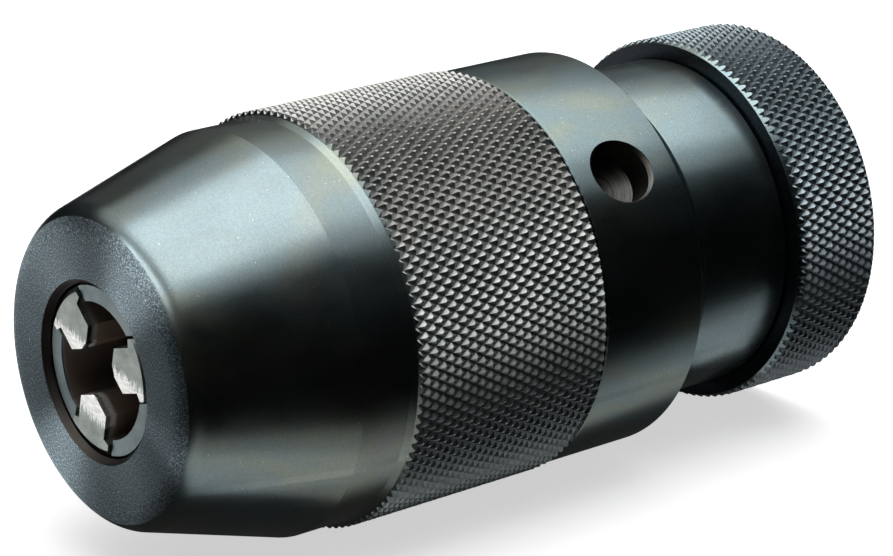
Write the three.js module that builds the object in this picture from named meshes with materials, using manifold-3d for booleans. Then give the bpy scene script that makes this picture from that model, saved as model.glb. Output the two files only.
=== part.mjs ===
// Keyless drill chuck, lying on its knurled band with the nose towards -Y and +Z up.
// Millimetres throughout. Sizes of round parts are across the flats of the faceted circle.
import * as THREE from 'three';
import { mergeVertices } from 'three/addons/utils/BufferGeometryUtils.js';
import ManifoldModule from 'manifold-3d';

const manifoldLibrary = await ManifoldModule();
manifoldLibrary.setup();
const { Manifold, Mesh: ManifoldMesh } = manifoldLibrary;

// ---------- overall sizes ----------
const OVERALL_LENGTH = 102.4;
const COLLAR_DIAMETER = 50.0;        // smooth rear collar: the catalogue diameter of the chuck
const KNURL_RISE = 0.3;              // knurl crests above the collar
const BAND_DROP = 0.55;              // smooth band below the collar
const RING_DROP = 1.35;              // holding ring below the collar
const RING_LIP = 2.5;                // holding ring above the neck

// ---------- hood ----------
const CONE_HALF_ANGLE = THREE.MathUtils.degToRad(15.7);
const CONE_LENGTH = 20.1;
const BAND_LENGTH = 6.4;
const BAND_EDGE = 0.25;              // small step where the cone meets the band
const KNURL_BEVEL = 1.1;
const KNURL_LENGTH = 29.1;           // bevels included
const KNURL_END_BEVEL = 0.4;
const NOSE_FILLET = 3.8;
const NOSE_BORE_DIAMETER = 20.0;
const NOSE_BORE_BEVEL = 0.9;
const INNER_CONE_LENGTH = 34.5;
const HOOD_SHOULDER = 1.5;           // step between the inner cone and the bore over the spigot

// ---------- jaws ----------
const JAW_COUNT = 3;
const JAW_CLOCK = THREE.MathUtils.degToRad(-47);   // first jaw, from +Z towards +X
const JAW_RECESS = 0.6;              // front faces behind the nose face
const JAW_LENGTH = 21.1;
const JAW_OPENING = 6.8;             // diameter held at rest
const JAW_BODY_WIDTH = 7.2;
const JAW_GRIP_WIDTH = 5.2;
const JAW_TIP_FLAT = 1.0;
const JAW_STEP_RADIUS = 7.6;         // where the narrow grip meets the wide back
const JAW_STEP_RISE = 0.3;
const JAW_EDGE_BEVEL = 0.5;
const JAW_MOUTH_BEVEL = 0.15;
const TAIL_NECK_WIDTH = 3.2;
const TAIL_NECK_LENGTH = 3.3;
const TAIL_HEAD_WIDTH = 6.0;
const TAIL_HEAD_LENGTH = 2.5;
const TAIL_INNER_RADIUS = 5.3;
const TAIL_DEPTH = 5.0;              // radial size of the tail

// ---------- jaw guide ----------
const GUIDE_RECESS = 1.0;            // front face behind the nose face
const GUIDE_BORE_DIAMETER = 16.2;
const GUIDE_WALL = 1.7;              // least wall where the screw's head comes forward
const GUIDE_STEP = 0.6;
const GUIDE_TAIL_BORE_RISE = 3.4;    // clears the jaw tails when the jaws are open
const GUIDE_TAIL_BORE_LENGTH = 12.8;
const GUIDE_FLANGE_LENGTH = 4.0;
const GUIDE_SLOT_MARGIN = 0.7;       // left between the slots and the flange

// ---------- feed screw ----------
const THREAD_LEAD = 4.0;             // left-hand
const THREAD_MEAN_DIAMETER = 14.8;
const THREAD_DEPTH = 1.0;
const SCREW_HEAD_DIAMETER = 21.2;
const SCREW_HEAD_LENGTH = 8.0;
const SCREW_SHANK_LENGTH = 33.4;
const SCREW_EDGE_BEVEL = 0.5;

// ---------- sleeve ----------
const COLLAR_LENGTH = 15.4;
const COLLAR_FRONT_BEVEL = 0.3;
const COLLAR_REAR_BEVEL = 0.35;
const SPIGOT_WALL = 1.5;
const WEB_LENGTH = 13.8;             // thick part that runs on the body
const SPANNER_HOLE_DIAMETER = 8.0;
const SPANNER_HOLE_DEPTH = 4.2;      // to the start of the drill point
const SPANNER_HOLE_BEVEL = 0.25;
const SPANNER_HOLE_FROM_REAR = 8.2;
const SPANNER_HOLE_CLOCK = THREE.MathUtils.degToRad(49.2);
const DRILL_POINT_HALF_ANGLE = THREE.MathUtils.degToRad(59);

// ---------- body ----------
const BODY_FRONT = 43.5;             // behind the nose face
const NUT_SEAT_DROP = 1.8;           // seat of the bearing nut below the stub
const NECK_GROOVE_LENGTH = 3.5;      // narrow part between the collar and the neck's shoulder
const NECK_GROOVE_DEPTH = 1.8;
const RING_SEAT_DROP = 1.15;         // seat of the holding ring below the neck
const BODY_EDGE_BEVEL = 0.6;
const NECK_EDGE_BEVEL = 0.1;
const BODY_THREAD_LENGTH = 16.5;
const BODY_RELIEF_DIAMETER = 16.8;
const BODY_BORE_DEPTH = 31.4;
const SOCKET_MOUTH_DIAMETER = 15.733; // B16 taper
const SOCKET_TAPER = 0.04995;         // change of diameter per millimetre
const SOCKET_DEPTH = 25.0;
const SOCKET_BEVEL = 0.6;

// ---------- holding ring ----------
const RING_LENGTH = 13.3;
const RING_FRONT_BEVEL = 0.45;
const RING_FRONT_BEVEL_LENGTH = 0.9;
const RING_REAR_BEVEL = 0.5;
const SNAP_RING_THICKNESS = 1.2;
const SNAP_RING_DEPTH = 0.6;         // how far it sits in the body's groove
const SNAP_RING_WIDTH = 1.9;
const SNAP_RING_FROM_REAR = 1.0;
const SNAP_RING_GAP = 7.0;

// ---------- thrust bearing ----------
const BALL_COUNT = 16;
const BALL_DIAMETER = 2.8;
const RACE_THICKNESS = 1.85;
const RACE_WIDTH = 4.2;
const RACE_GROOVE_DEPTH = 0.4;
const CAGE_THICKNESS = 1.2;
const NUT_LENGTH = 6.2;
const NUT_INSET = 0.6;               // nut's rim inside the races' rim
const NUT_NOTCH_COUNT = 4;
const NUT_NOTCH_WIDTH = 4.0;
const NUT_NOTCH_DEPTH = 2.0;

// ---------- fits and facets ----------
const CLEARANCE = 0.3;               // between every two neighbouring pieces
const ROUND_SEGMENTS = 48;
const THREAD_SEGMENTS = 32;
const THREAD_STEPS_PER_LEAD = 6;
const HOLE_SEGMENTS = 20;
const FILLET_STEPS = 5;
const BALL_SEGMENTS = 12;
const BALL_RINGS = 8;
const WELD_DISTANCE = 1e-4;
const OVERCUT = 1.0;                 // how far a cutter passes beyond the surface it opens

// ---------- derived radii ----------
const collarRadius = COLLAR_DIAMETER / 2;
const knurlRadius = collarRadius + KNURL_RISE;
const bandRadius = collarRadius - BAND_DROP;
const ringRadius = collarRadius - RING_DROP;
const neckRadius = ringRadius - RING_LIP;
const ringSeatRadius = neckRadius - RING_SEAT_DROP;
const noseBoreRadius = NOSE_BORE_DIAMETER / 2;
const coneSlope = Math.tan(CONE_HALF_ANGLE);
const coneGap = CLEARANCE / Math.cos(CONE_HALF_ANGLE);
const hoodBoreRadius = noseBoreRadius + INNER_CONE_LENGTH * coneSlope + HOOD_SHOULDER;
const spigotRadius = hoodBoreRadius - CLEARANCE;
const spigotInnerRadius = spigotRadius - SPIGOT_WALL;
const raceOuterRadius = spigotInnerRadius - CLEARANCE;
const raceInnerRadius = raceOuterRadius - RACE_WIDTH;
const ballCircleRadius = (raceInnerRadius + raceOuterRadius) / 2;
const stubRadius = raceInnerRadius - CLEARANCE;
const nutRadius = raceOuterRadius - NUT_INSET;
const nutSeatRadius = stubRadius - NUT_SEAT_DROP;
const headRadius = SCREW_HEAD_DIAMETER / 2;
const headBoreRadius = headRadius + CLEARANCE;

// ---------- derived stations along the axis, from the nose face ----------
const bandEnd = CONE_LENGTH + BAND_LENGTH;
const hoodEnd = bandEnd + KNURL_LENGTH;
const collarStart = hoodEnd + CLEARANCE;
const collarEnd = collarStart + COLLAR_LENGTH;
const webStart = collarEnd - WEB_LENGTH;
const grooveStart = collarEnd + CLEARANCE;
const neckStart = grooveStart + NECK_GROOVE_LENGTH;
const ringStart = OVERALL_LENGTH - RING_LENGTH;
const neckEnd = ringStart - CLEARANCE;
const jawRear = JAW_RECESS + JAW_LENGTH;
const headFront = jawRear + CLEARANCE;
const headRear = headFront + SCREW_HEAD_LENGTH;
const flangeStart = INNER_CONE_LENGTH + CLEARANCE;
const flangeEnd = flangeStart + GUIDE_FLANGE_LENGTH;
const spigotStart = flangeEnd + CLEARANCE;
const headBoreStart = (headBoreRadius + GUIDE_WALL + coneGap - noseBoreRadius) / coneSlope;
const tailBoreStart = flangeEnd - GUIDE_TAIL_BORE_LENGTH;
const rearRaceRear = webStart - CLEARANCE;
const rearRaceFront = rearRaceRear - RACE_THICKNESS;
const ballPlane = rearRaceFront - BALL_DIAMETER / 2 + RACE_GROOVE_DEPTH - CLEARANCE;
const frontRaceRear = 2 * ballPlane - rearRaceFront;
const frontRaceFront = frontRaceRear - RACE_THICKNESS;
const nutRear = frontRaceFront - CLEARANCE;
const snapRingRear = OVERALL_LENGTH - SNAP_RING_FROM_REAR - CLEARANCE;
const snapRingFront = snapRingRear - SNAP_RING_THICKNESS;
const snapRingInnerRadius = ringSeatRadius - SNAP_RING_DEPTH;
const snapRingOuterRadius = snapRingInnerRadius + SNAP_RING_WIDTH;

// ---------- finishes ----------
const BLACK_OXIDE = { color: 0x23272a, roughness: 0.34, metalness: 1.0 };
const BLUED_STEEL = { color: 0x2f353a, roughness: 0.42, metalness: 1.0 };
const GROUND_STEEL = { color: 0xb9bdbb, roughness: 0.3, metalness: 1.0 };
const BEARING_STEEL = { color: 0x8f9496, roughness: 0.18, metalness: 1.0 };
const CAGE_BRASS = { color: 0xb08d4a, roughness: 0.35, metalness: 1.0 };

function toManifold(geometry) {
  const bare = geometry.clone();
  for (const name of Object.keys(bare.attributes)) {
    if (name !== 'position') bare.deleteAttribute(name);
  }
  const merged = mergeVertices(bare, WELD_DISTANCE);
  const index = Array.from(merged.index.array);
  const triangles = [];
  for (let i = 0; i < index.length; i += 3) {
    const [a, b, c] = index.slice(i, i + 3);
    if (a !== b && b !== c && c !== a) triangles.push(a, b, c);
  }
  return new Manifold(new ManifoldMesh({
    numProp: 3,
    vertProperties: Float32Array.from(merged.attributes.position.array),
    triVerts: Uint32Array.from(triangles),
  }));
}

function toGeometry(solid) {
  const mesh = solid.getMesh();
  const geometry = new THREE.BufferGeometry();
  geometry.setAttribute('position', new THREE.BufferAttribute(Float32Array.from(mesh.vertProperties), 3));
  geometry.setIndex(new THREE.BufferAttribute(Uint32Array.from(mesh.triVerts), 1));
  geometry.computeVertexNormals();
  return geometry;
}

function cut(blank, cutters) {
  return toGeometry(cutters.reduce((rest, cutter) => rest.subtract(toManifold(cutter)), toManifold(blank)));
}

function join(pieces) {
  const solids = pieces.map(toManifold);
  return toGeometry(solids.reduce((sum, solid) => sum.add(solid)));
}

function common(first, second) {
  return toGeometry(toManifold(first).intersect(toManifold(second)));
}

// A solid of revolution about Y. The profile runs counter-clockwise as [radius, station] pairs.
function revolve(profile, segments = ROUND_SEGMENTS) {
  const acrossFlats = 1 / Math.cos(Math.PI / segments);
  const points = profile.map(([radius, y]) => new THREE.Vector2(radius * acrossFlats, y));
  return new THREE.LatheGeometry(points, segments, Math.PI / segments, Math.PI * 2);
}

function closed(profile) {
  return [...profile, profile[0]];
}

function tube(innerRadius, outerRadius, start, end, segments = ROUND_SEGMENTS) {
  const profile = [[innerRadius, start], [outerRadius, start], [outerRadius, end], [innerRadius, end]];
  return revolve(closed(profile), segments);
}

function rod(radius, start, end, segments = ROUND_SEGMENTS) {
  return revolve([[0, start], [radius, start], [radius, end], [0, end]], segments);
}

// A block that starts on the axis and reaches outwards in the direction of a clock angle.
function radialBlock(width, start, end, innerRadius, outerRadius, clock) {
  const block = new THREE.BoxGeometry(width, end - start, outerRadius - innerRadius);
  block.translate(0, (start + end) / 2, (innerRadius + outerRadius) / 2);
  return block.rotateY(clock);
}

function clockOf(index, count, first = 0) {
  return first + index * 2 * Math.PI / count;
}

function outerConeRadius(y) {
  return bandRadius - BAND_EDGE - (CONE_LENGTH - y) * coneSlope;
}

function innerConeRadius(y) {
  return noseBoreRadius + y * coneSlope;
}

// Rod with a rounded left-hand thread: its crest turns with the angle as the station falls.
function threadedRod(start, end, meanRadius, depth) {
  const rows = Math.ceil((end - start) / THREAD_LEAD * THREAD_STEPS_PER_LEAD);
  const positions = [];
  const indices = [];
  for (let row = 0; row <= rows; row += 1) {
    const y = start + (end - start) * row / rows;
    for (let column = 0; column < THREAD_SEGMENTS; column += 1) {
      const angle = clockOf(column, THREAD_SEGMENTS);
      const phase = 2 * Math.PI * y / THREAD_LEAD + angle;
      const radius = meanRadius + depth / 2 * Math.cos(phase);
      positions.push(radius * Math.sin(angle), y, radius * Math.cos(angle));
    }
  }
  const at = (row, column) => row * THREAD_SEGMENTS + column % THREAD_SEGMENTS;
  for (let row = 0; row < rows; row += 1) {
    for (let column = 0; column < THREAD_SEGMENTS; column += 1) {
      indices.push(at(row, column), at(row, column + 1), at(row + 1, column));
      indices.push(at(row + 1, column + 1), at(row + 1, column), at(row, column + 1));
    }
  }
  const firstCentre = positions.length / 3;
  positions.push(0, start, 0, 0, end, 0);
  for (let column = 0; column < THREAD_SEGMENTS; column += 1) {
    indices.push(firstCentre, at(0, column + 1), at(0, column));
    indices.push(firstCentre + 1, at(rows, column), at(rows, column + 1));
  }
  const geometry = new THREE.BufferGeometry();
  geometry.setAttribute('position', new THREE.Float32BufferAttribute(positions, 3));
  geometry.setIndex(indices);
  return geometry;
}

// Points of the rounding between the flat nose face and the outer cone.
function noseFillet() {
  const faceEdge = outerConeRadius(0);
  const tangent = NOSE_FILLET * Math.tan((Math.PI / 2 - CONE_HALF_ANGLE) / 2);
  const centreRadius = faceEdge - tangent;
  const points = [];
  for (let step = 0; step <= FILLET_STEPS; step += 1) {
    const angle = (Math.PI / 2 - CONE_HALF_ANGLE) * step / FILLET_STEPS;
    points.push([
      centreRadius + NOSE_FILLET * Math.sin(angle),
      NOSE_FILLET - NOSE_FILLET * Math.cos(angle),
    ]);
  }
  return points;
}

function makeHood() {
  return revolve(closed([
    [noseBoreRadius + NOSE_BORE_BEVEL, 0],
    ...noseFillet(),
    [outerConeRadius(CONE_LENGTH), CONE_LENGTH],
    [bandRadius, CONE_LENGTH + BAND_EDGE],
    [bandRadius, bandEnd],
    [knurlRadius, bandEnd + KNURL_BEVEL],
    [knurlRadius, hoodEnd - KNURL_END_BEVEL],
    [knurlRadius - KNURL_END_BEVEL, hoodEnd],
    [hoodBoreRadius, hoodEnd],
    [hoodBoreRadius, INNER_CONE_LENGTH],
    [innerConeRadius(INNER_CONE_LENGTH), INNER_CONE_LENGTH],
    [innerConeRadius(NOSE_BORE_BEVEL), NOSE_BORE_BEVEL],
  ]));
}

function spannerHole() {
  const radius = SPANNER_HOLE_DIAMETER / 2;
  const floor = collarRadius - SPANNER_HOLE_DEPTH;
  const hole = revolve([
    [0, floor - radius / Math.tan(DRILL_POINT_HALF_ANGLE)],
    [radius, floor],
    [radius, collarRadius - 2 * SPANNER_HOLE_BEVEL],
    [radius + 2 * SPANNER_HOLE_BEVEL + OVERCUT, collarRadius + OVERCUT],
    [0, collarRadius + OVERCUT],
  ], HOLE_SEGMENTS);
  hole.rotateX(Math.PI / 2);
  hole.rotateY(SPANNER_HOLE_CLOCK);
  return hole.translate(0, collarEnd - SPANNER_HOLE_FROM_REAR, 0);
}

function makeSleeve() {
  const journal = stubRadius + CLEARANCE;
  const blank = revolve(closed([
    [spigotInnerRadius, spigotStart],
    [spigotRadius, spigotStart],
    [spigotRadius, collarStart],
    [collarRadius - COLLAR_FRONT_BEVEL, collarStart],
    [collarRadius, collarStart + COLLAR_FRONT_BEVEL],
    [collarRadius, collarEnd - COLLAR_REAR_BEVEL],
    [collarRadius - COLLAR_REAR_BEVEL, collarEnd],
    [journal, collarEnd],
    [journal, webStart],
    [spigotInnerRadius, webStart],
  ]));
  return cut(blank, [spannerHole()]);
}

function makeJawGuide() {
  const boreRadius = GUIDE_BORE_DIAMETER / 2;
  const tailBoreRadius = headBoreRadius + GUIDE_TAIL_BORE_RISE;
  const blank = revolve(closed([
    [boreRadius, GUIDE_RECESS],
    [innerConeRadius(GUIDE_RECESS) - coneGap, GUIDE_RECESS],
    [innerConeRadius(flangeStart) - coneGap - CLEARANCE, flangeStart],
    [spigotRadius, flangeStart],
    [spigotRadius, flangeEnd],
    [tailBoreRadius, flangeEnd],
    [tailBoreRadius, tailBoreStart],
    [headBoreRadius, tailBoreStart],
    [headBoreRadius, headBoreStart],
    [boreRadius, headBoreStart - GUIDE_STEP],
  ]));
  const slotWidth = JAW_BODY_WIDTH + 2 * CLEARANCE;
  const slotEnd = INNER_CONE_LENGTH - GUIDE_SLOT_MARGIN;
  const slots = Array.from({ length: JAW_COUNT }, (_, index) => radialBlock(
    slotWidth, -OVERCUT, slotEnd, 0, spigotRadius, clockOf(index, JAW_COUNT, JAW_CLOCK)));
  return cut(blank, slots);
}

function jawSection() {
  const tip = JAW_OPENING / 2;
  const grip = JAW_GRIP_WIDTH / 2;
  const body = JAW_BODY_WIDTH / 2;
  const flankRise = (grip - JAW_TIP_FLAT / 2) / Math.tan(Math.PI / JAW_COUNT);
  const right = [
    [JAW_TIP_FLAT / 2, tip],
    [grip, tip + flankRise],
    [grip, JAW_STEP_RADIUS],
    [body, JAW_STEP_RADIUS + JAW_STEP_RISE],
    [body, hoodBoreRadius],
  ];
  const left = right.map(([width, radius]) => [-width, radius]).reverse();
  return new THREE.Shape([...right, ...left].map(([x, y]) => new THREE.Vector2(x, y)));
}

// One jaw with its grip on the +Z side of the axis; its back matches the hood's cone.
function makeJaw() {
  const bar = new THREE.ExtrudeGeometry(jawSection(), { depth: JAW_LENGTH, bevelEnabled: false });
  bar.rotateX(Math.PI / 2);
  bar.translate(0, jawRear, 0);
  const back = (y) => innerConeRadius(y) - coneGap;
  const cone = revolve([
    [0, JAW_RECESS],
    [back(JAW_RECESS) - JAW_EDGE_BEVEL, JAW_RECESS],
    [back(JAW_RECESS + JAW_EDGE_BEVEL), JAW_RECESS + JAW_EDGE_BEVEL],
    [back(jawRear), jawRear],
    [0, jawRear],
  ]);
  const mouth = revolve([
    [0, JAW_RECESS - OVERCUT],
    [JAW_OPENING / 2 + JAW_MOUTH_BEVEL + OVERCUT, JAW_RECESS - OVERCUT],
    [0, JAW_RECESS + JAW_OPENING / 2 + JAW_MOUTH_BEVEL],
  ]);
  const blade = cut(common(bar, cone), [mouth]);
  const outer = TAIL_INNER_RADIUS + TAIL_DEPTH;
  const neckEnd = jawRear + TAIL_NECK_LENGTH;
  const neck = radialBlock(TAIL_NECK_WIDTH, jawRear - OVERCUT, neckEnd, TAIL_INNER_RADIUS, outer, 0);
  const head = radialBlock(TAIL_HEAD_WIDTH, neckEnd, neckEnd + TAIL_HEAD_LENGTH, TAIL_INNER_RADIUS, outer, 0);
  return join([blade, neck, head]);
}

function makeScrew() {
  const head = revolve([
    [0, headFront],
    [headRadius - SCREW_EDGE_BEVEL, headFront],
    [headRadius, headFront + SCREW_EDGE_BEVEL],
    [headRadius, headRear - SCREW_EDGE_BEVEL],
    [headRadius - SCREW_EDGE_BEVEL, headRear],
    [0, headRear],
  ]);
  const shankEnd = headRear + SCREW_SHANK_LENGTH;
  const shank = threadedRod(headRear - OVERCUT, shankEnd, THREAD_MEAN_DIAMETER / 2, THREAD_DEPTH);
  const neckWidth = TAIL_NECK_WIDTH + 2 * CLEARANCE;
  const headWidth = TAIL_HEAD_WIDTH + 2 * CLEARANCE;
  const cavityStart = jawRear + TAIL_NECK_LENGTH - CLEARANCE;
  const cavityEnd = jawRear + TAIL_NECK_LENGTH + TAIL_HEAD_LENGTH + CLEARANCE;
  const slots = [];
  for (let index = 0; index < JAW_COUNT; index += 1) {
    const clock = clockOf(index, JAW_COUNT, JAW_CLOCK);
    slots.push(radialBlock(neckWidth, headFront - OVERCUT, cavityEnd, 0, headRadius + OVERCUT, clock));
    slots.push(radialBlock(headWidth, cavityStart, cavityEnd, 0, headRadius + OVERCUT, clock));
  }
  return cut(join([head, shank]), slots);
}

function makeBody() {
  const snapGrooveRadius = snapRingInnerRadius - CLEARANCE;
  const snapGrooveStart = snapRingFront - CLEARANCE;
  const snapGrooveEnd = snapRingRear + CLEARANCE;
  const blank = revolve([
    [0, BODY_FRONT],
    [nutSeatRadius - BODY_EDGE_BEVEL, BODY_FRONT],
    [nutSeatRadius, BODY_FRONT + BODY_EDGE_BEVEL],
    [nutSeatRadius, nutRear + CLEARANCE],
    [stubRadius, nutRear + CLEARANCE],
    [stubRadius, grooveStart],
    [neckRadius - NECK_GROOVE_DEPTH, grooveStart],
    [neckRadius - NECK_GROOVE_DEPTH, neckStart],
    [neckRadius - NECK_EDGE_BEVEL, neckStart],
    [neckRadius, neckStart + NECK_EDGE_BEVEL],
    [neckRadius, neckEnd],
    [ringSeatRadius, neckEnd],
    [ringSeatRadius, snapGrooveStart],
    [snapGrooveRadius, snapGrooveStart],
    [snapGrooveRadius, snapGrooveEnd],
    [ringSeatRadius, snapGrooveEnd],
    [ringSeatRadius, OVERALL_LENGTH],
    [0, OVERALL_LENGTH],
  ]);
  const threadEnd = BODY_FRONT + BODY_THREAD_LENGTH;
  const boreEnd = BODY_FRONT + BODY_BORE_DEPTH;
  const nutThreadRadius = THREAD_MEAN_DIAMETER / 2 + CLEARANCE;
  const thread = threadedRod(BODY_FRONT - OVERCUT, threadEnd, nutThreadRadius, THREAD_DEPTH);
  const relief = rod(BODY_RELIEF_DIAMETER / 2, threadEnd - OVERCUT, boreEnd, THREAD_SEGMENTS);
  return cut(blank, [thread, relief, taperSocket()]);
}

function taperSocket() {
  const mouth = SOCKET_MOUTH_DIAMETER / 2;
  const floor = OVERALL_LENGTH - SOCKET_DEPTH;
  return revolve([
    [0, floor],
    [mouth - SOCKET_DEPTH * SOCKET_TAPER / 2, floor],
    [mouth, OVERALL_LENGTH - SOCKET_BEVEL],
    [mouth + SOCKET_BEVEL + OVERCUT, OVERALL_LENGTH + OVERCUT],
    [0, OVERALL_LENGTH + OVERCUT],
  ], THREAD_SEGMENTS);
}

function makeHoldingRing() {
  const bore = ringSeatRadius + CLEARANCE;
  const pocket = snapRingOuterRadius + CLEARANCE;
  const pocketStart = snapRingFront - CLEARANCE;
  return revolve(closed([
    [bore, ringStart],
    [ringRadius - RING_FRONT_BEVEL, ringStart],
    [ringRadius, ringStart + RING_FRONT_BEVEL_LENGTH],
    [ringRadius, OVERALL_LENGTH - RING_REAR_BEVEL],
    [ringRadius - RING_REAR_BEVEL, OVERALL_LENGTH],
    [pocket, OVERALL_LENGTH],
    [pocket, pocketStart],
    [bore, pocketStart],
  ]));
}

function makeSnapRing() {
  const gapEnd = snapRingOuterRadius + OVERCUT;
  const gap = radialBlock(SNAP_RING_GAP, snapRingFront - OVERCUT, snapRingRear + OVERCUT, 0, gapEnd, 0);
  return cut(tube(snapRingInnerRadius, snapRingOuterRadius, snapRingFront, snapRingRear), [gap]);
}

function makeBearingNut() {
  const start = nutRear - NUT_LENGTH;
  const blank = tube(nutSeatRadius + CLEARANCE, nutRadius, start, nutRear);
  const notchEnd = start + NUT_NOTCH_DEPTH;
  const notches = Array.from({ length: NUT_NOTCH_COUNT }, (_, index) => radialBlock(
    NUT_NOTCH_WIDTH, start - OVERCUT, notchEnd, 0, nutRadius + OVERCUT, clockOf(index, NUT_NOTCH_COUNT)));
  return cut(blank, notches);
}

// A washer with a ball groove in the face that looks along the given direction, +1 or -1.
function makeRace(plainFace, groovedFace) {
  const direction = Math.sign(groovedFace - plainFace);
  const grooveRadius = BALL_DIAMETER / 2 + CLEARANCE;
  const away = Math.abs(ballPlane - groovedFace);
  const halfWidth = Math.sqrt(grooveRadius ** 2 - away ** 2);
  const sideDepth = Math.sqrt(grooveRadius ** 2 - (halfWidth / 2) ** 2) - away;
  const bottom = groovedFace - direction * (grooveRadius - away);
  const side = groovedFace - direction * sideDepth;
  const profile = [
    [raceInnerRadius, plainFace],
    [raceOuterRadius, plainFace],
    [raceOuterRadius, groovedFace],
    [ballCircleRadius + halfWidth, groovedFace],
    [ballCircleRadius + halfWidth / 2, side],
    [ballCircleRadius, bottom],
    [ballCircleRadius - halfWidth / 2, side],
    [ballCircleRadius - halfWidth, groovedFace],
    [raceInnerRadius, groovedFace],
  ];
  return revolve(closed(direction > 0 ? profile : profile.reverse()));
}

function makeCage() {
  const start = ballPlane - CAGE_THICKNESS / 2;
  const end = start + CAGE_THICKNESS;
  const ring = tube(raceInnerRadius, raceOuterRadius, start, end);
  const pockets = Array.from({ length: BALL_COUNT }, (_, index) => {
    const clock = clockOf(index, BALL_COUNT);
    const pocket = rod(BALL_DIAMETER / 2 + CLEARANCE, start - OVERCUT, end + OVERCUT, HOLE_SEGMENTS);
    return pocket.translate(ballCircleRadius * Math.sin(clock), 0, ballCircleRadius * Math.cos(clock));
  });
  return cut(ring, pockets);
}

function makeBall() {
  return new THREE.SphereGeometry(BALL_DIAMETER / 2, BALL_SEGMENTS, BALL_RINGS);
}

const chuck = new THREE.Group();
chuck.position.set(0, -OVERALL_LENGTH / 2, knurlRadius);

function addPiece(name, geometry, finish) {
  const mesh = new THREE.Mesh(geometry, new THREE.MeshStandardMaterial(finish));
  mesh.name = name;
  chuck.add(mesh);
  return mesh;
}

addPiece('hood', makeHood(), BLACK_OXIDE);
addPiece('sleeve', makeSleeve(), BLACK_OXIDE);
addPiece('jaw_guide', makeJawGuide(), BLUED_STEEL);
for (let index = 0; index < JAW_COUNT; index += 1) {
  const jaw = addPiece(`jaw_${index + 1}`, makeJaw(), GROUND_STEEL);
  jaw.rotation.y = clockOf(index, JAW_COUNT, JAW_CLOCK);
}
addPiece('feed_screw', makeScrew(), BLUED_STEEL);
addPiece('chuck_body', makeBody(), BLACK_OXIDE);
addPiece('holding_ring', makeHoldingRing(), BLACK_OXIDE);
addPiece('ring_snap_ring', makeSnapRing(), BLUED_STEEL);
addPiece('bearing_nut', makeBearingNut(), BLUED_STEEL);
addPiece('front_race', makeRace(frontRaceFront, frontRaceRear), BEARING_STEEL);
addPiece('rear_race', makeRace(rearRaceRear, rearRaceFront), BEARING_STEEL);
addPiece('ball_cage', makeCage(), CAGE_BRASS);
for (let index = 0; index < BALL_COUNT; index += 1) {
  const ball = addPiece(`ball_${String(index + 1).padStart(2, '0')}`, makeBall(), BEARING_STEEL);
  const clock = clockOf(index, BALL_COUNT);
  ball.position.set(ballCircleRadius * Math.sin(clock), ballPlane, ballCircleRadius * Math.cos(clock));
}

export default chuck;
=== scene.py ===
import math

import bmesh
import bpy
from mathutils import Matrix, Vector


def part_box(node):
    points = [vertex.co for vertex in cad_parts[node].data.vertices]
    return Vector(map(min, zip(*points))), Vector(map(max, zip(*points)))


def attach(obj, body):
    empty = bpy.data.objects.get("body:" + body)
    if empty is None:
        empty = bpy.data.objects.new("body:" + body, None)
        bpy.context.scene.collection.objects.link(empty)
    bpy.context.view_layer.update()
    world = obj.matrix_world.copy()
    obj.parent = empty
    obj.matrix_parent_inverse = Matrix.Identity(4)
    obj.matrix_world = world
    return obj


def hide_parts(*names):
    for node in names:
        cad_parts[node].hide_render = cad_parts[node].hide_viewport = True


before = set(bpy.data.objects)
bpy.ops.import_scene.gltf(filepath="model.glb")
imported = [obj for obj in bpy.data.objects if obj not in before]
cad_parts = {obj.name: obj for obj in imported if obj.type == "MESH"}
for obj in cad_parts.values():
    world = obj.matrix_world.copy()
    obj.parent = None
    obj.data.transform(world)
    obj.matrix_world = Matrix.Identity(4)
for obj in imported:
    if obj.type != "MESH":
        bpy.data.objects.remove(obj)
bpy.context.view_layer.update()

MM = 0.001

# ---------- sizes and places read from the frame ----------
hood_low, hood_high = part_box("hood")
sleeve_low, sleeve_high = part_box("sleeve")
body_low, body_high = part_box("chuck_body")
ring_low, ring_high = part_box("holding_ring")
guide_low, guide_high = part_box("jaw_guide")
snap_low, snap_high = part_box("ring_snap_ring")

AXIS_HEIGHT = (hood_low[2] + hood_high[2]) / 2
NOSE = hood_low[1]
HOOD_END = hood_high[1]
COLLAR_END = sleeve_high[1]
SPIGOT_START = sleeve_low[1]
BODY_FRONT = body_low[1]
RING_START = ring_low[1]
TAIL = ring_high[1]
KNURL_RADIUS = (hood_high[0] - hood_low[0]) / 2
COLLAR_RADIUS = (sleeve_high[0] - sleeve_low[0]) / 2
NECK_RADIUS = (body_high[0] - body_low[0]) / 2
RING_RADIUS = (ring_high[0] - ring_low[0]) / 2
SPIGOT_RADIUS = (guide_high[0] - guide_low[0]) / 2

# ---------- fits ----------
CLEARANCE = 0.3 * MM
COLLAR_START = HOOD_END + CLEARANCE
GROOVE_START = COLLAR_END + CLEARANCE
NECK_GROOVE_LENGTH = 3.5 * MM
NECK_START = GROOVE_START + NECK_GROOVE_LENGTH
NECK_END = RING_START - CLEARANCE
HOOD_BORE_RADIUS = SPIGOT_RADIUS + CLEARANCE
SPIGOT_WALL = 1.5 * MM
SPIGOT_INNER_RADIUS = SPIGOT_RADIUS - SPIGOT_WALL

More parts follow.
